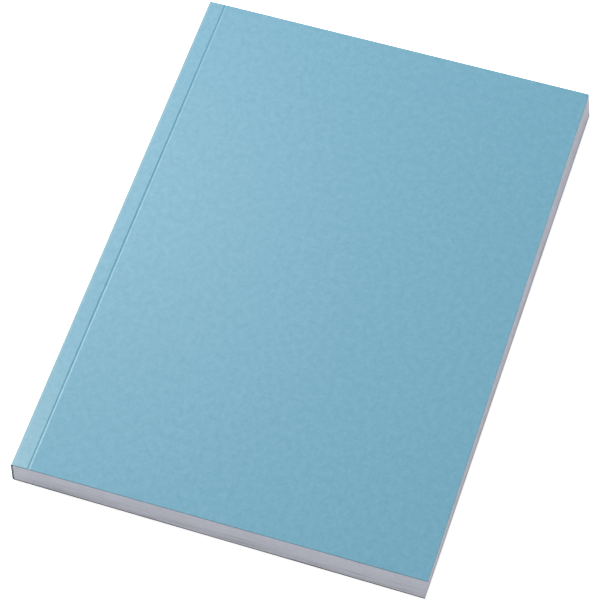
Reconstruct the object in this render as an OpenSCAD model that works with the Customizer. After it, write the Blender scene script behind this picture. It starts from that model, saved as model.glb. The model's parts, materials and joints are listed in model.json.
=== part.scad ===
// Softcover notebook with a glued spine, lying closed on its back cover.
// The origin is the centre of the back cover's underside. X runs from the spine to the
// fore-edge, Y from the foot to the head of the pages, and Z up.

/* [Book] */
// Width of the closed book, from the spine to the fore-edge
book_w = 148; // [100:1:210]
// Height of the closed book, from the foot to the head
book_h = 210; // [148:1:297]

/* [Page block] */
// Number of leaves
leaf_count = 96; // [40:1:160]
// Thickness of one leaf
leaf_t = 0.103; // [0.08:0.001:0.13]
// Thickness of the glue between the leaves and the spine
glue_t = 0.5; // [0.4:0.05:1.5]

/* [Cover card] */
// Thickness of the card
card_t = 0.38; // [0.25:0.01:0.6]
// Inner radius of the two folds along the spine
fold_r = 0.1; // [0.05:0.05:0.35]
// Distance from the spine edge to the middle of each pressed score
score_x = 6.4; // [4:0.1:12]
// Width of a pressed score
score_w = 1.3; // [0.6:0.1:2]
// Depth of a pressed score
score_d = 0.18; // [0.04:0.01:0.2]

/* [Lean of the stack] */
// Angle by which the front cover is turned against the back cover
lean_deg = 0.5; // [0:0.05:0.8]
// Distance from the foot to the place on the spine that stays upright
lean_y = 47; // [0:1:140]

/* [Hidden] */
$fn = 48;

// Thickness of all leaves together
block_t = leaf_count * leaf_t;
// Height of the front cover's inner face
front_z = card_t + block_t;
// Distance from the spine edge to the backs of the leaves
leaf_x = card_t + glue_t;
// Distance from the spine edge to the centres of the two folds
fold_x = card_t + fold_r;
// Number of steps round a fold
fold_steps = 5;
// Number of steps up the spine between the folds
lean_steps = 12;

card_blue = [0.52, 0.73, 0.80];
paper_white = [0.93, 0.93, 0.94];
glue_white = [0.90, 0.91, 0.93];

// Places a shape drawn from the foot corner of the spine, square with the back cover
module square_with_back() {
  translate([-book_w / 2, -book_h / 2, 0])
    children();
}

// Places a shape drawn from the foot corner of the spine, turned with the front cover
module turned_with_front() {
  square_with_back()
    translate([0, lean_y, front_z])
      rotate([0, 0, lean_deg])
        translate([0, -lean_y, 0])
          children();
}

// Turn of the stack at a height, from none at the back cover to all of it at the front cover
function turn_at(height) = lean_deg * min(max((height - card_t) / block_t, 0), 1);

// Where the lean puts a point of the upright book, measured from the foot corner of the spine
function leaned(across, along, height) =
  let (
    turn = turn_at(height),
    from_pivot = along - lean_y
  )
  [
    across * cos(turn) - from_pivot * sin(turn),
    across * sin(turn) + from_pivot * cos(turn) + lean_y,
    height
  ];

// Line up the spine at a distance from the folds' centres, as points [across, height]. It goes
// round the fold at the back cover, straight up and round the fold at the front cover.
function spine_line(distance) = [
  for (i = [0:fold_steps])
    let (angle = 270 - 90 * i / fold_steps)
    [fold_x + distance * cos(angle), fold_x + distance * sin(angle)],
  for (i = [1:lean_steps - 1])
    [fold_x - distance, fold_x + (block_t - 2 * fold_r) * i / lean_steps],
  for (i = [0:fold_steps])
    let (angle = 180 - 90 * i / fold_steps)
    [fold_x + distance * cos(angle), front_z - fold_r + distance * sin(angle)]
];

// Two triangles that share the diagonal from a to c
function split(a, b, c, d) = [[a, b, c], [a, c, d]];

// A solid that runs from foot to head and leans as the leaves do. Its cross-section is a
// ladder of rungs, each with a point on the spine side and a point on the other side, and the
// long faces are all split the same way, so that neighbours meet without a gap.
module leaning_ladder(rungs) {
  top = 4 * (len(rungs) - 1);
  square_with_back()
    polyhedron(
      points = [
        for (rung = rungs, along = [0, book_h], point = rung)
          leaned(point.x, along, point.y)
      ],
      faces = [
        [0, 1, 3, 2],
        for (k = [0:4:top - 4]) each [
          each split(k, k + 4, k + 5, k + 1),
          each split(k, k + 2, k + 6, k + 4),
          each split(k + 1, k + 5, k + 7, k + 3),
          each split(k + 3, k + 7, k + 6, k + 2)
        ],
        [top, top + 2, top + 3, top + 1]
      ]
    );
}

// Extrudes a cross-section, drawn across the book with its height up, from the foot to the head
module along_spine() {
  translate([0, book_h, 0])
    rotate([90, 0, 0])
      linear_extrude(height = book_h)
        children();
}

// Diamond whose lower half is the V that the score presses into the outer face
module score_cut() {
  polygon([
    [score_x - score_w / 2, card_t],
    [score_x, card_t - score_d],
    [score_x + score_w / 2, card_t],
    [score_x, card_t + score_d]
  ]);
}

// Section of a cover panel between the score and the fore-edge, outer face up
module panel_section() {
  difference() {
    translate([score_x, 0])
      square([book_w - score_x, card_t]);
    score_cut();
  }
}

// Rung of the back strip where the score presses the outer face in by a depth
function score_rung(across, depth) = [[across, depth], [across, card_t]];

// The same rung of the front strip
function over_front(rung) = [for (point = rung) [point.x, card_t + front_z - point.y]];

// All leaves, trimmed flush with the cover
module page_block() {
  color(paper_white)
    leaning_ladder([
      for (point = spine_line(fold_r)) [[leaf_x, point.y], [book_w, point.y]]
    ]);
}

// Hot-melt glue that fills the space between the backs of the leaves and the spine wrap
module spine_glue() {
  color(glue_white)
    leaning_ladder([
      for (point = spine_line(fold_r)) [point, [leaf_x, point.y]]
    ]);
}

// Spine panel with the two strips that are folded and glued over the leaves
module spine_wrap() {
  outer = spine_line(fold_r + card_t);
  inner = spine_line(fold_r);
  score_middle = score_rung(score_x, score_d);
  score_lip = score_rung(score_x - score_w / 2, 0);
  color(card_blue)
    leaning_ladder([
      score_middle,
      score_lip,
      for (i = [0:len(inner) - 1]) [outer[i], inner[i]],
      over_front(score_lip),
      over_front(score_middle)
    ]);
}

// Front cover, which opens at its score
module front_cover() {
  color(card_blue)
    turned_with_front()
      along_spine()
        panel_section();
}

// Back cover, which opens at its score and carries the closed book
module back_cover() {
  color(card_blue)
    square_with_back()
      translate([0, 0, card_t])
        mirror([0, 0, 1])
          along_spine()
            panel_section();
}

page_block();
spine_glue();
spine_wrap();
front_cover();
back_cover();
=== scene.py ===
"""Softcover notebook, lying closed on its back cover: card, pages, glue, studio and camera.

The card is one folded sheet. It is built here as three pieces that meet in the bottoms of the two
pressed scores, where the covers open. All sizes are in metres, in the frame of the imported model:
X from the spine to the fore-edge, Y from the foot to the head, Z up.
"""

import cmath
import json
import math

import bmesh
import bpy
from mathutils import Matrix, Vector, noise

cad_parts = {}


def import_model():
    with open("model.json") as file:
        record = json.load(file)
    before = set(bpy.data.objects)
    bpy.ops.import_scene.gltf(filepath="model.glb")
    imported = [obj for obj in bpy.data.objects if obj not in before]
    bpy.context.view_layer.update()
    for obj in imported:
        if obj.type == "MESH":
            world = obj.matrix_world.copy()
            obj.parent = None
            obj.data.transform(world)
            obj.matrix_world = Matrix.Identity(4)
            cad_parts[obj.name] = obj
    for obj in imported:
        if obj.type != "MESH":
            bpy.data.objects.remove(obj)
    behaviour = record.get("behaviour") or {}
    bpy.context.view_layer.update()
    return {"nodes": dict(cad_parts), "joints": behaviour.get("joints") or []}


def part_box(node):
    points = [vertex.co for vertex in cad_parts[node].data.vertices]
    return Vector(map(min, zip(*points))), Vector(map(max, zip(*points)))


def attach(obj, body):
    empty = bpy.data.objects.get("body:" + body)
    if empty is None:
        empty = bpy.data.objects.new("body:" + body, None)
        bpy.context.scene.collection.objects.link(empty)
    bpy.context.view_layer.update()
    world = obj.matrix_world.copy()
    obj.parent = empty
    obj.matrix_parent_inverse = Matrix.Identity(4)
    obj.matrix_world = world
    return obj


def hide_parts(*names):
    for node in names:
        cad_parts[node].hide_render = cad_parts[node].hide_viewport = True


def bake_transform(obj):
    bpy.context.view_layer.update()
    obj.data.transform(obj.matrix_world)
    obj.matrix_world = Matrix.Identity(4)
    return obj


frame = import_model()

MM = 0.001
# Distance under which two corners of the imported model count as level
TOUCH = 0.001 * MM


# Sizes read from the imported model


def corners_of(node):
    """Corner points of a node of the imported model."""
    return [vertex.co.copy() for vertex in frame["nodes"][node].data.vertices]


def hinge(name):
    """Record of a cover's hinge: its place and its axis."""
    return next(joint for joint in frame["joints"] if joint["name"] == name)


back_low, back_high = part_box("back_cover")
# Half the book's width and height, and the thickness of the card
half_w, half_h, card_t = back_high
# Heights of the front cover's outer and inner faces, and the thickness of all leaves together
top_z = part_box("front_cover")[1].z
front_z = top_z - card_t
block_t = front_z - card_t

# Middle of a score across the book, half its width, and its depth
score_x = back_low.x
score_half = min(c.x for c in corners_of("back_cover") if c.z < TOUCH) - score_x
score_depth = min(c.z for c in corners_of("back_cover") if c.x < score_x + TOUCH)
# Backs of the leaves and centres of the folds across the book, and the two radii of a fold
leaf_x = min(c.x for c in corners_of("page_block") if c.z < card_t + TOUCH)
fold_x = min(c.x for c in corners_of("spine_glue") if c.z < card_t + TOUCH)
fold_inner = fold_x + half_w - card_t
fold_outer = fold_inner + card_t


# Lean of the stack


front_hinge = hinge("front_cover_hinge")
back_hinge = hinge("back_cover_hinge")
# Angle by which the front cover is turned against the back cover
lean = math.atan2(front_hinge["axis"][0], -front_hinge["axis"][1])
# Lean below which the stack counts as upright
least_lean = 1e-6


def upright_spot():
    """Spot of the book that the lean leaves in place, worked out from the two hinges."""
    if abs(lean) < least_lean:
        return 0j
    turn = cmath.exp(1j * lean)
    front, back = (complex(*joint["pos_m"][:2]) for joint in (front_hinge, back_hinge))
    return (front - turn * back) / (1 - turn)


pivot = upright_spot()

# Slope by which the strip beside the spine falls towards the spine: halfway up the book, and how
# much steeper it is at the foot and at the head, over which length from there
strip_slope = 0.016
foot_slope, foot_reach = 0.026, 70 * MM
head_slope, head_reach = 0.018, 25 * MM


def settled(x, y, z):
    """Height of a point of the upright book, where the strip beside the spine has settled."""
    near_foot = max(0, 1 - (y + half_h) / foot_reach)
    near_head = max(0, 1 - (half_h - y) / head_reach)
    slope = strip_slope + foot_slope * near_foot + head_slope * near_head
    return z - slope * max(0, score_x - x) * z / top_z


def leaned(x, y, z):
    """Where the lean of the stack puts a point of the upright book."""
    share = min(max((z - card_t) / block_t, 0), 1)
    spot = pivot + cmath.exp(1j * lean * share) * (complex(x, y) - pivot)
    return Vector((spot.real, spot.imag, settled(x, y, z)))


# Meshes


# Angle between two faces from which the edge between them is sharp
sharp_angle = math.radians(35)


def in_scene(name, data):
    """A new object of the scene, which holds a mesh, a lamp or a camera."""
    obj = bpy.data.objects.new(name, data)
    bpy.context.scene.collection.objects.link(obj)
    return obj


def closed_piece(name, points, faces, cut_faces, rest_places, materials):
    """A closed mesh. Faces numbered in cut_faces get the second material. Each point keeps its
    place on the flat sheet, or in the upright book, for the materials to read."""
    mesh = bpy.data.meshes.new(name)
    mesh.from_pydata(points, [], faces)
    for number in cut_faces:
        mesh.polygons[number].material_index = 1
    places = mesh.attributes.new("rest_place", "FLOAT_VECTOR", "POINT")
    places.data.foreach_set("vector", [value for place in rest_places for value in place])
    shell = bmesh.new()
    shell.from_mesh(mesh)
    bmesh.ops.recalc_face_normals(shell, faces=shell.faces)
    shell.to_mesh(mesh)
    shell.free()
    mesh.shade_smooth()
    mesh.set_sharp_from_angle(angle=sharp_angle)
    for material in materials:
        mesh.materials.append(material)
    return in_scene(name, mesh)


# Card


# Radius that the guillotine leaves along the card's cut edges
cut_radius = 0.06 * MM
# Steps round a cut edge
cut_steps = 3
# Distance from a cut face, or from the lip of a score, to the first station on plain card
cut_reach = 2 * cut_radius
# Stations from the foot to the head, and from a score to the fore-edge
stations_along = 42
stations_across = 28
# Stations over the half of a score that a cover holds, where the card bends when it opens
score_steps = 14
# Width of the card that bends when a cover opens; the covers work out where it starts and ends, but
# use neither
bend_width = 0.55 * MM
# Steps over the strip beside the spine, round a fold, and up half of the spine panel
strip_steps = 4
fold_steps = 8
spine_steps = 10
# Depth of the pressed score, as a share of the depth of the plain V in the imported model
score_press = 0.85

# Half the card's width over the spine, from the middle of the spine panel to a score
fold_arc = math.pi / 2 * (fold_inner + card_t / 2)
strip_w = score_x + half_w - fold_outer
spine_half = (top_z - 2 * fold_outer) / 2
wrap_half = spine_half + fold_arc + strip_w


def rounded_cut():
    """Steps that round a cut edge, from the cut face on: how far away each is, and how far the
    card's faces are drawn in there."""
    angles = [math.pi / 2 * step / cut_steps for step in range(cut_steps + 1)]
    arc = [(cut_radius * (1 - math.cos(a)), cut_radius * (1 - math.sin(a))) for a in angles]
    return arc + [(cut_reach, 0)]


def stations_from_foot():
    """Stations from the foot to the head: Y, and how far the card's faces are drawn in."""
    cut = rounded_cut()
    foot = [(away - half_h, drawn) for away, drawn in cut]
    middle = [(half_h * (2 * i / stations_along - 1), 0) for i in range(1, stations_along)]
    head = [(half_h - away, drawn) for away, drawn in reversed(cut)]
    return foot + middle + head


def stations_from_score():
    """Distances from the middle of a score, over its half and a step past its lip."""
    over_score = [score_half * i / score_steps for i in range(score_steps + 1)]
    return over_score + [score_half + cut_reach]


def score_at(distance):
    """Depth that the score presses the outer face in, at a distance from its middle."""
    share = min(abs(distance) / score_half, 1)
    return score_press * score_depth * math.cos(math.pi / 2 * share) ** 2


def lofted_sheet(name, points, places, row_count, rounded_rungs, materials):
    """Closed sheet through rows of rungs, each rung an outer and an inner point. The faces at the
    foot and the head, and over the last rounded rungs, are cut ones."""
    rung_count = len(points) // (2 * row_count)
    faces, cut_faces = [], []

    def number(row, rung, side):
        """Number of a rung's outer point, which is side 0, or of its inner one, which is side 1."""
        return 2 * (row * rung_count + rung) + side

    def add(is_cut, *corners):
        """Adds a face between corners that are each given by row, rung and side."""
        if is_cut:
            cut_faces.append(len(faces))
        faces.append([number(*corner) for corner in corners])

    for row in range(row_count - 1):
        row_is_cut = row < cut_steps or row >= row_count - 1 - cut_steps
        for rung in range(rung_count - 1):
            is_cut = row_is_cut or rung >= rung_count - rounded_rungs
            for side in (0, 1):
                add(is_cut, (row, rung, side), (row, rung + 1, side),
                    (row + 1, rung + 1, side), (row + 1, rung, side))
        for rung in (0, rung_count - 1):
            add(True, (row, rung, 0), (row, rung, 1), (row + 1, rung, 1), (row + 1, rung, 0))
    for row in (0, row_count - 1):
        for rung in range(rung_count - 1):
            add(True, (row, rung, 0), (row, rung + 1, 0), (row, rung + 1, 1), (row, rung, 1))
    return closed_piece(name, points, faces, cut_faces, places, materials)


def cover_rungs(drawn):
    """Rungs across a cover from the score's middle to the fore-edge: X, depth of the outer end
    under the card's outer face, depth of the inner end, and place on the flat sheet."""
    near = stations_from_score()
    reach = half_w - score_x - drawn
    plain = reach - near[-1] - cut_reach
    far = [near[-1] + plain * i / stations_across for i in range(1, stations_across)]
    cut = [(reach - away, drawn_more) for away, drawn_more in reversed(rounded_cut())]
    rungs = [(u, score_at(u) + drawn, card_t - drawn) for u in near + far]
    rungs += [(u, drawn + more, card_t - drawn - more) for u, more in cut]
    return [(score_x + u, outer, inner, wrap_half + u) for u, outer, inner in rungs]


def cover(name, node, from_top, materials):
    """Cover panel from its score to the fore-edge, at the top or at the bottom of the book."""
    rows = [(y, cover_rungs(drawn)) for y, drawn in stations_from_foot()]
    points, places = [], []
    for y, rungs in rows:
        for x, outer, inner, across in rungs:
            for depth in (outer, inner):
                points.append(leaned(x, y, top_z - depth if from_top else depth))
                places.append((across if from_top else -across, y, depth))
    rounded_rungs = cut_steps + 1
    piece = lofted_sheet(name, points, places, len(rows), rounded_rungs, materials)
    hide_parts(node)
    bend_start = leaned(score_x, 0, top_z if from_top else 0)
    bend_end = leaned(score_x + bend_width, 0, top_z if from_top else 0)
    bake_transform(piece)


def half_wrap_rungs(drawn):
    """Rungs from the score's middle at the bottom of the book, round the fold, to the middle of
    the spine panel: outer point and inner point as (X, Z), and place on the flat sheet."""
    rungs = []
    near = stations_from_score()
    plain = strip_w - near[-1]
    strip = [near[-1] + plain * i / strip_steps for i in range(1, strip_steps + 1)]
    for u in near + strip:
        x = score_x - u
        rungs.append(((x, score_at(u) + drawn), (x, card_t - drawn), u - wrap_half))
    centre = Vector((fold_x, fold_outer))
    for step in range(1, fold_steps + 1):
        angle = math.pi / 2 * step / fold_steps
        out = Vector((-math.sin(angle), -math.cos(angle)))
        outer, inner = (centre + out * r for r in (fold_outer - drawn, fold_inner + drawn))
        rungs.append((tuple(outer), tuple(inner), strip_w - wrap_half + fold_arc * step / fold_steps))
    for step in range(1, spine_steps + 1):
        z = fold_outer + spine_half * step / spine_steps
        across = -spine_half * (1 - step / spine_steps)
        rungs.append(((drawn - half_w, z), (card_t - drawn - half_w, z), across))
    return rungs


def wrap_rungs(drawn):
    """Rungs of the whole spine wrap, from the score at the bottom to the score at the top."""
    lower = half_wrap_rungs(drawn)
    upper = [
        ((outer[0], top_z - outer[1]), (inner[0], top_z - inner[1]), -across)
        for outer, inner, across in reversed(lower[:-1])
    ]
    return lower + upper


def spine_wrap(materials):
    """Spine panel with the two strips that are folded and glued over the leaves."""
    rows = [(y, drawn, wrap_rungs(drawn)) for y, drawn in stations_from_foot()]
    points, places = [], []
    for y, drawn, rungs in rows:
        for outer, inner, across in rungs:
            points += [leaned(outer[0], y, outer[1]), leaned(inner[0], y, inner[1])]
            places += [(across, y, drawn), (across, y, card_t - drawn)]
    piece = lofted_sheet("spine_wrap_card", points, places, len(rows), 0, materials)
    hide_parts("spine_wrap")
    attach(piece, "block")


# Glue


# How far the glue's ends stand back from the foot and the head
glue_back = 0.03 * MM
# Stations from the foot to the head
glue_stations = 10


def spine_glue(material):
    """Glue that fills the space between the backs of the leaves and the spine wrap."""
    at_spine = spine_half + fold_arc + TOUCH
    inner_line = [inner for outer, inner, across in wrap_rungs(0) if abs(across) < at_spine]
    head_end = half_h - glue_back
    middle = [half_h * (2 * i / glue_stations - 1) for i in range(1, glue_stations)]
    rows = [-head_end, *middle, head_end]
    places = []
    for y in rows:
        for x, z in inner_line:
            places += [(x, y, z), (leaf_x, y, z)]
    points = [leaned(*place) for place in places]
    piece = lofted_sheet("binding_glue", points, places, len(rows), 0, (material, material))
    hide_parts("spine_glue")
    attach(piece, "block")


# Pages


leaf_count = 96
leaf_t = block_t / leaf_count
# Stations along the trimmed sides: foot and head, and fore-edge
stations_foot = 40
stations_fore = 56
# Depth of the valley between two leaves, and the share of a leaf's thickness on each side of it
valley = 0.035 * MM
valley_share = 0.25
# How far single leaves stand back, over which length that changes, and how far apart in the noise
# the leaves lie
leaf_jitter = 0.03 * MM
leaf_wander = 18 * MM
leaf_stride = 7.3
# The same for clumps of leaves: how far, over which length, and leaves in a clump
clump_jitter = 0.05 * MM
clump_wander = 40 * MM
clump_leaves = 5
# Part of the noise from which the clumps are taken, away from that of the single leaves
clump_start = 50


def trimmed_outline():
    """Outline of a leaf, from the foot corner at the spine round to the head corner at the spine:
    X, Y and the way out, which is both ways at the corners of the fore-edge."""
    spots = []
    width, height = half_w - leaf_x, 2 * half_h
    for i in range(stations_foot):
        spots.append((leaf_x + width * i / stations_foot, -half_h, (0, -1)))
    for i in range(stations_fore + 1):
        up_or_down = (i == stations_fore) - (i == 0)
        spots.append((half_w, -half_h + height * i / stations_fore, (1, up_or_down)))
    for i in range(1, stations_foot + 1):
        spots.append((half_w - width * i / stations_foot, half_h, (0, 1)))
    return spots


def set_back(spot, leaf):
    """How far a leaf's edge stands back from the trimmed face at a spot of the outline."""
    x, y = spot[:2]
    single = noise.noise(Vector((x / leaf_wander, y / leaf_wander, leaf_stride * leaf)))
    in_clumps = Vector((x / clump_wander + clump_start, y / clump_wander, leaf / clump_leaves))
    clump = noise.noise(in_clumps)
    return leaf_jitter * (0.5 + single) + clump_jitter * max(0, clump)


def leaf_rings(outline):
    """Rings round the leaves, from the back cover up: Z, and how far each spot stands back. A leaf
    has two rings at its edge, and one in the valley under it."""
    rings = []
    for leaf in range(leaf_count):
        z = card_t + leaf * leaf_t
        edge = [set_back(spot, leaf) for spot in outline]
        deep = [back + valley for back in edge]
        rings.append((z, deep if leaf else edge))
        rings.append((z + valley_share * leaf_t, edge))
        rings.append((z + (1 - valley_share) * leaf_t, edge))
    rings.append((front_z, edge))
    return rings


def page_block(materials):
    """All leaves as one solid, with a shallow valley between each two at the trimmed sides."""
    outline = trimmed_outline()
    places = []
    for z, backs in leaf_rings(outline):
        for (x, y, way), back in zip(outline, backs):
            places.append((x - way[0] * back, y - way[1] * back, z))
    points = [leaned(*place) for place in places]
    count = len(outline)
    last = len(places) - count
    sides = []
    for ring in range(0, last, count):
        for i in range(count):
            j = (i + 1) % count
            sides.append((ring + i, ring + j, ring + count + j, ring + count + i))
    ends = [range(count), range(last, last + count)]
    piece = closed_piece("pages", points, sides + ends, range(len(sides)), places, materials)
    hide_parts("page_block")
    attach(piece, "block")


# Shader nodes


def new_material(name):
    """A material with an empty node tree, its Principled shader and its output."""
    material = bpy.data.materials.new(name)
    material.use_nodes = True
    tree = material.node_tree
    tree.nodes.clear()
    shader = tree.nodes.new("ShaderNodeBsdfPrincipled")
    output = tree.nodes.new("ShaderNodeOutputMaterial")
    tree.links.new(shader.outputs["BSDF"], output.inputs["Surface"])
    return material, tree, shader


def feed(tree, socket, value):
    """Gives a socket what it reads: another node's output, a number or a colour."""
    if isinstance(value, bpy.types.NodeSocket):
        tree.links.new(value, socket)
    elif socket.type == "RGBA":
        socket.default_value = (*value, 1)
    else:
        socket.default_value = value


def combined(tree, operation, *values):
    """Sum, product or other combination of values."""
    node = tree.nodes.new("ShaderNodeMath")
    node.operation = operation
    for socket, value in zip(node.inputs, values):
        feed(tree, socket, value)
    return node.outputs[0]


def ranged(tree, value, low, high, to_low=0, to_high=1):
    """A value carried from one range into another."""
    node = tree.nodes.new("ShaderNodeMapRange")
    for socket, limit in zip(node.inputs, (value, low, high, to_low, to_high)):
        feed(tree, socket, limit)
    return node.outputs[0]


def mixed(tree, share, first, second):
    """Colour between two others."""
    node = tree.nodes.new("ShaderNodeMix")
    node.data_type = "RGBA"
    for name, value in (("Factor", share), ("A", first), ("B", second)):
        feed(tree, node.inputs[name], value)
    return node.outputs["Result"]


def grain(tree, place, detail, roughness, distortion):
    """Noise at a scale of one."""
    node = tree.nodes.new("ShaderNodeTexNoise")
    for name, value in (("Vector", place), ("Scale", 1), ("Detail", detail),
                        ("Roughness", roughness), ("Distortion", distortion)):
        feed(tree, node.inputs[name], value)
    return node.outputs["Fac"]


def shrunk(tree, place, size, shape):
    """Place measured in steps of a size, which is stretched along the three axes by a shape."""
    lengths = tree.nodes.new("ShaderNodeVectorMath")
    lengths.operation = "SCALE"
    feed(tree, lengths.inputs[0], shape)
    feed(tree, lengths.inputs["Scale"], size)
    steps = tree.nodes.new("ShaderNodeVectorMath")
    steps.operation = "DIVIDE"
    feed(tree, steps.inputs[0], place)
    feed(tree, steps.inputs[1], lengths.outputs[0])
    return steps.outputs[0]


def new_group(name, inputs, outputs):
    """An empty node group with sockets, each a name and a kind: its tree, what it is given and
    what it puts out."""
    group = bpy.data.node_groups.new(name, "ShaderNodeTree")
    for way, sockets in (("INPUT", inputs), ("OUTPUT", outputs)):
        for label, kind in sockets.items():
            group.interface.new_socket(label, in_out=way, socket_type="NodeSocket" + kind)
    given = group.nodes.new("NodeGroupInput").outputs
    result = group.nodes.new("NodeGroupOutput").inputs
    return group, given, result


def placed(tree, group, values):
    """Places a node group in a tree with its own values, and gives what it puts out."""
    node = tree.nodes.new("ShaderNodeGroup")
    node.node_tree = group
    for name, value in values.items():
        feed(tree, node.inputs[name], value)
    return node.outputs


# Effects that the finishes share


# How much longer the pulp's clouds and its hairs are along Y than across
cloud_shape = (1, 1.15, 1)
hair_shape = (1, 3, 1)
# Width of a hair
hair_width = 0.12 * MM
# Unevenness of the pulp, up or down, at which the tone is at its lightest or darkest
full_unevenness = 0.3
# Height of the clouds in the relief, next to that of the hairs
cloud_height = 0.6
# How much rougher a finish is on its hairs, and how much smoother between them
gloss_spread = 0.06


def pressed_fibres():
    """Node group for pressed pulp. Its tone, about 0.5 on average, has clouds where the pulp lies
    thick or thin, and a share of fine hairs, the fibres, which lie mostly along Y."""
    group, given, result = new_group(
        "Pressed fibres",
        {"Place": "Vector", "Cloud size": "Float", "Hair width": "Float", "Hair share": "Float"},
        {"Tone": "Float", "Hairs": "Float", "Height": "Float"})
    over_clouds = shrunk(group, given["Place"], given["Cloud size"], cloud_shape)
    clouds = grain(group, over_clouds, detail=3, roughness=0.85, distortion=0)
    over_hairs = shrunk(group, given["Place"], given["Hair width"], hair_shape)
    hairs = grain(group, over_hairs, detail=2, roughness=0.5, distortion=1.2)
    middle = combined(group, "MULTIPLY_ADD", given["Hair share"], 0.5, 0.5)
    both = combined(group, "MULTIPLY_ADD", hairs, given["Hair share"], clouds)
    uneven = combined(group, "SUBTRACT", both, middle)
    feed(group, result["Tone"], ranged(group, uneven, -full_unevenness, full_unevenness))
    feed(group, result["Hairs"], hairs)
    feed(group, result["Height"], combined(group, "MULTIPLY_ADD", clouds, cloud_height, hairs))
    return group


def wear_or_painted_light():
    """Node group that lays an abraded colour, or painted shade or sheen, over another one. It lies
    in full on one side of a measure, not at all on the other, and thicker where the tone is light."""
    group, given, result = new_group(
        "Wear or painted light",
        {"Colour": "Color", "Tone": "Float", "Measure": "Float", "Full at": "Float",
         "None at": "Float", "Strength": "Float", "Wear or painted colour": "Color"},
        {"Colour": "Color"})
    reach = ranged(group, given["Measure"], given["None at"], given["Full at"], 0, given["Strength"])
    patchy = combined(group, "ADD", given["Tone"], 0.5)
    share = combined(group, "MULTIPLY", reach, patchy)
    feed(group, result["Colour"], mixed(group, share, given["Colour"], given["Wear or painted colour"]))
    return group


def tinted(colour, amount):
    """A colour made lighter or darker, by about the same to the eye in each channel."""
    weights = (0.6, 0.83, 0.83)
    return tuple(channel + amount * weight for channel, weight in zip(colour, weights))


class Finish:
    """Material of paper, card or glue: mottled in colour, gloss and relief, and abraded or painted
    with shade or sheen where its maker adds that."""

    fibres = pressed_fibres()
    wear_or_light = wear_or_painted_light()

    def __init__(self, name, colour, fleck, cloud_size, hair_share, roughness, relief):
        self.material, self.tree, self.shader = new_material(name)
        attribute = self.tree.nodes.new("ShaderNodeAttribute")
        attribute.attribute_name = "rest_place"
        self.place = attribute.outputs["Vector"]
        pulp = placed(self.tree, self.fibres, {
            "Place": self.place, "Cloud size": cloud_size,
            "Hair width": hair_width, "Hair share": hair_share})
        self.tone = pulp["Tone"]
        self.colour = mixed(self.tree, self.tone, tinted(colour, -fleck), tinted(colour, fleck))
        self.paint()
        smooth, rough = roughness - gloss_spread, roughness + gloss_spread
        gloss = ranged(self.tree, pulp["Hairs"], 0.2, 0.8, to_low=smooth, to_high=rough)
        feed(self.tree, self.shader.inputs["Roughness"], gloss)
        bump = self.tree.nodes.new("ShaderNodeBump")
        feed(self.tree, bump.inputs["Distance"], relief)
        feed(self.tree, bump.inputs["Height"], pulp["Height"])
        feed(self.tree, self.shader.inputs["Normal"], bump.outputs["Normal"])

    def paint(self):
        """Feeds the colour, with what has been laid over it so far, to the shader."""
        feed(self.tree, self.shader.inputs["Base Color"], self.colour)

    def directions(self):
        """The parts of the place, by the names X, Y and Z. In a cover or the spine wrap, X runs
        across the flat sheet from the middle of the spine panel, towards the front cover."""
        parts = self.tree.nodes.new("ShaderNodeSeparateXYZ")
        feed(self.tree, parts.inputs[0], self.place)
        return parts.outputs

    def lay_wear_or_light(self, measure, full_at, none_at, strength, colour):
        """Lays an abraded colour, or painted shade or sheen, over the finish."""
        over = placed(self.tree, self.wear_or_light, {
            "Colour": self.colour, "Tone": self.tone, "Measure": measure, "Full at": full_at,
            "None at": none_at, "Strength": strength, "Wear or painted colour": colour})
        self.colour = over["Colour"]
        self.paint()


# Finishes


card_blue = (0.142, 0.383, 0.518)
# Painted sheen: paler blue laid over the foot of the front strip
painted_sheen_blue = (0.285, 0.520, 0.615)
worn_fold = (0.210, 0.400, 0.490)
core_blue = (0.150, 0.285, 0.365)
# Painted shade: near-black for the contact shade under the back cover and the gap at the spine
painted_shade_black = (0.040, 0.045, 0.050)
# Painted shade: dark grey for the gap between the back cover and the lowest leaves
gap_shade_grey = (0.080, 0.085, 0.095)
paper_white = (0.820, 0.838, 0.930)
page_white = (0.830, 0.835, 0.860)
leaf_shadow = (0.450, 0.460, 0.520)
glue_white = (0.500, 0.515, 0.575)

# Places across the flat sheet, from the spine's middle line: where a fold begins, and where it ends
fold_begin = spine_half
fold_end = spine_half + fold_arc


def card_finish():
    """Faces of the card: mottled blue with a soft sheen, painted paler at the foot of the front strip
    as a painted sheen, and scuffed along the folds."""
    finish = Finish("Blue card", card_blue, fleck=0.062, cloud_size=2.4 * MM, hair_share=0.3,
                    roughness=0.34, relief=0.010 * MM)
    tree = finish.tree
    parts = finish.directions()
    across = parts["X"]
    # Painted sheen: the front strip is painted paler towards the foot, over the last 70 mm
    near_foot = ranged(tree, parts["Y"], foot_reach - half_h, -half_h, to_low=0, to_high=0.55)
    in_front = ranged(tree, across, fold_begin, fold_end)
    painted_sheen = combined(tree, "MULTIPLY", near_foot, in_front)
    finish.lay_wear_or_light(across, full_at=wrap_half - 0.5 * MM, none_at=wrap_half + 0.3 * MM,
                strength=painted_sheen, colour=painted_sheen_blue)
    away = combined(tree, "ABSOLUTE", across)
    from_fold = combined(tree, "SUBTRACT", away, (fold_begin + fold_end) / 2)
    beside_fold = combined(tree, "ABSOLUTE", from_fold)
    finish.lay_wear_or_light(beside_fold, full_at=fold_arc / 2, none_at=fold_arc / 2 + 0.7 * MM,
                strength=0.9, colour=worn_fold)
    return finish.material


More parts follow.
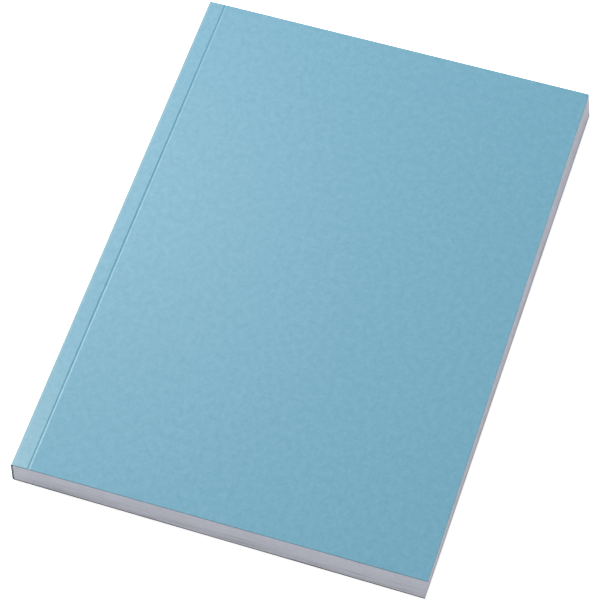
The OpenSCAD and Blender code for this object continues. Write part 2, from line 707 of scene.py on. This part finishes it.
def cut_finish():
    """Cut edges of the card, painted near-black from the back cover round to the front fold:
    painted contact shade along the back cover's edges, and painted shade at the spine's ends.
    """
    finish = Finish("Cut edge of the card", core_blue, fleck=0.05, cloud_size=1.2 * MM,
                    hair_share=0.7, roughness=0.80, relief=0.020 * MM)
    finish.shader.inputs["Specular IOR Level"].default_value = 0.1
    across = finish.directions()["X"]
    # Painted shade: near-black from the back cover round to the front fold
    finish.lay_wear_or_light(across, full_at=fold_end, none_at=fold_end + 0.8 * MM,
                strength=1.3, colour=painted_shade_black)
    return finish.material


# Thickness of a dark streak between the leaves, and how much longer it is than thick
streak_t = 0.45 * MM
streak_shape = (45, 45, 1)


def trimmed_finish():
    """Trimmed edges of the leaves: painted shade in dark streaks between some leaves of the lower
    part, and painted shade in the gap above the back cover."""
    finish = Finish("Trimmed page edges", paper_white, fleck=0.08, cloud_size=2 * MM,
                    hair_share=0.5, roughness=0.85, relief=0.010 * MM)
    tree = finish.tree
    z = finish.directions()["Z"]
    # Painted shade between the leaves: dark streaks, stronger towards the bottom of the block
    along_leaves = shrunk(tree, finish.place, streak_t, streak_shape)
    streaks = grain(tree, along_leaves, detail=2, roughness=0.5, distortion=0)
    low_down = ranged(tree, z, card_t + 0.6 * block_t, card_t + 0.1 * block_t,
                      to_low=0.15, to_high=0.75)
    finish.lay_wear_or_light(streaks, full_at=0.66, none_at=0.50, strength=low_down, colour=leaf_shadow)
    # Painted shade: the lowest leaves, in the gap above the back cover, are darkened
    finish.lay_wear_or_light(z, full_at=card_t + 0.06 * MM, none_at=card_t + 0.28 * MM,
                strength=0.85, colour=gap_shade_grey)
    return finish.material


def page_finish():
    """Faces of the pages, seen when a cover is open."""
    return Finish("Page paper", page_white, fleck=0.03, cloud_size=6 * MM, hair_share=0.4,
                  roughness=0.75, relief=0.008 * MM).material


def glue_finish():
    """Binding glue, painted dark where it meets the spine card, as shade in the gap between them."""
    finish = Finish("Binding glue", glue_white, fleck=0.05, cloud_size=3 * MM, hair_share=0.2,
                    roughness=0.45, relief=0.015 * MM)
    x = finish.directions()["X"]
    spine_card = card_t - half_w
    # Painted shade: dark beside the spine card
    finish.lay_wear_or_light(x, full_at=spine_card + 0.25 * MM, none_at=spine_card + 0.40 * MM,
                strength=1, colour=painted_shade_black)
    return finish.material


# Studio


floor_width = 6
# How far the floor lies under the book
floor_drop = 0.02 * MM
floor_grey = (0.90, 0.90, 0.90)
# Strength of the floor's own glow where it is seen, and of the surroundings where they only light
floor_glow = 0.72
ambient = 0.30


def seen_directly(tree):
    """1 for rays that show a thing itself: in the picture, in a gloss or through glass."""
    path = tree.nodes.new("ShaderNodeLightPath").outputs
    seen = combined(tree, "MAXIMUM", path["Is Camera Ray"], path["Is Glossy Ray"])
    return combined(tree, "MAXIMUM", seen, path["Is Transmission Ray"])


def floor_material():
    """Pale floor that is white in the picture and keeps the book's shadow."""
    material, tree, shader = new_material("Pale floor")
    glow = ranged(tree, seen_directly(tree), 0, 1, to_low=0, to_high=floor_glow)
    for name, value in (("Base Color", floor_grey), ("Roughness", 1), ("Specular IOR Level", 0),
                        ("Emission Color", (1, 1, 1)), ("Emission Strength", glow)):
        feed(tree, shader.inputs[name], value)
    return material


def floor():
    """Level floor just under the book."""
    half = floor_width / 2
    corners = [(-half, -half), (half, -half), (half, half), (-half, half)]
    mesh = bpy.data.meshes.new("floor")
    mesh.from_pydata([(x, y, -floor_drop) for x, y in corners], [], [(0, 1, 2, 3)])
    mesh.materials.append(floor_material())
    in_scene("floor", mesh)


def world():
    """White surroundings that light the book softly."""
    surroundings = bpy.data.worlds.new("Studio")
    surroundings.use_nodes = True
    tree = surroundings.node_tree
    background = tree.nodes["Background"]
    strength = ranged(tree, seen_directly(tree), 0, 1, to_low=ambient, to_high=1)
    feed(tree, background.inputs["Color"], (1, 1, 1))
    feed(tree, background.inputs["Strength"], strength)
    bpy.context.scene.world = surroundings


def softbox(name, towards, distance, width, power):
    """Square area lamp that faces the book from a direction."""
    lamp = bpy.data.lights.new(name, "AREA")
    lamp.shape = "SQUARE"
    lamp.size = width
    lamp.energy = power
    obj = in_scene(name, lamp)
    back = Vector(towards).normalized()
    obj.location = back * distance
    obj.rotation_mode = "QUATERNION"
    obj.rotation_quaternion = (-back).to_track_quat("-Z", "Y")


def camera():
    """Camera at the photograph's viewing angle: 166 mm on a 36 mm wide picture."""
    place = Vector((175.0, -506.0, 835.2)) * MM
    aim = Vector((-0.70, -11.83, 10.55)) * MM
    roll = math.radians(-1.446)
    data = bpy.data.cameras.new("camera")
    data.lens = 166.31
    data.sensor_width = 36
    data.clip_start = 0.01
    data.clip_end = 50
    level = (aim - place).to_track_quat("-Z", "Y").to_matrix()
    turned = level @ Matrix.Rotation(roll, 3, "Z")
    obj = in_scene("camera", data)
    obj.matrix_world = Matrix.Translation(place) @ turned.to_4x4()
    bpy.context.scene.camera = obj


camera()
card_and_cut = card_finish(), cut_finish()
spine_wrap(card_and_cut)
cover("front_cover_card", "front_cover", True, card_and_cut)
cover("back_cover_card", "back_cover", False, card_and_cut)
page_block((page_finish(), trimmed_finish()))
spine_glue(glue_finish())
floor()
world()
softbox("key softbox", towards=(-0.720, 0.262, 0.643), distance=1.85, width=1.1, power=26.4)
softbox("fill softbox", towards=(0.86, -0.42, 0.29), distance=2.0, width=1.5, power=6.4)
softbox("glow softbox", towards=(-0.321, 0.557, 0.766), distance=1.5, width=0.9, power=3.2)
softbox("highlight softbox", towards=(-0.344, 0.515, 0.785), distance=0.946, width=0.1, power=0.67)
bpy.context.scene.view_settings.view_transform = "Standard"
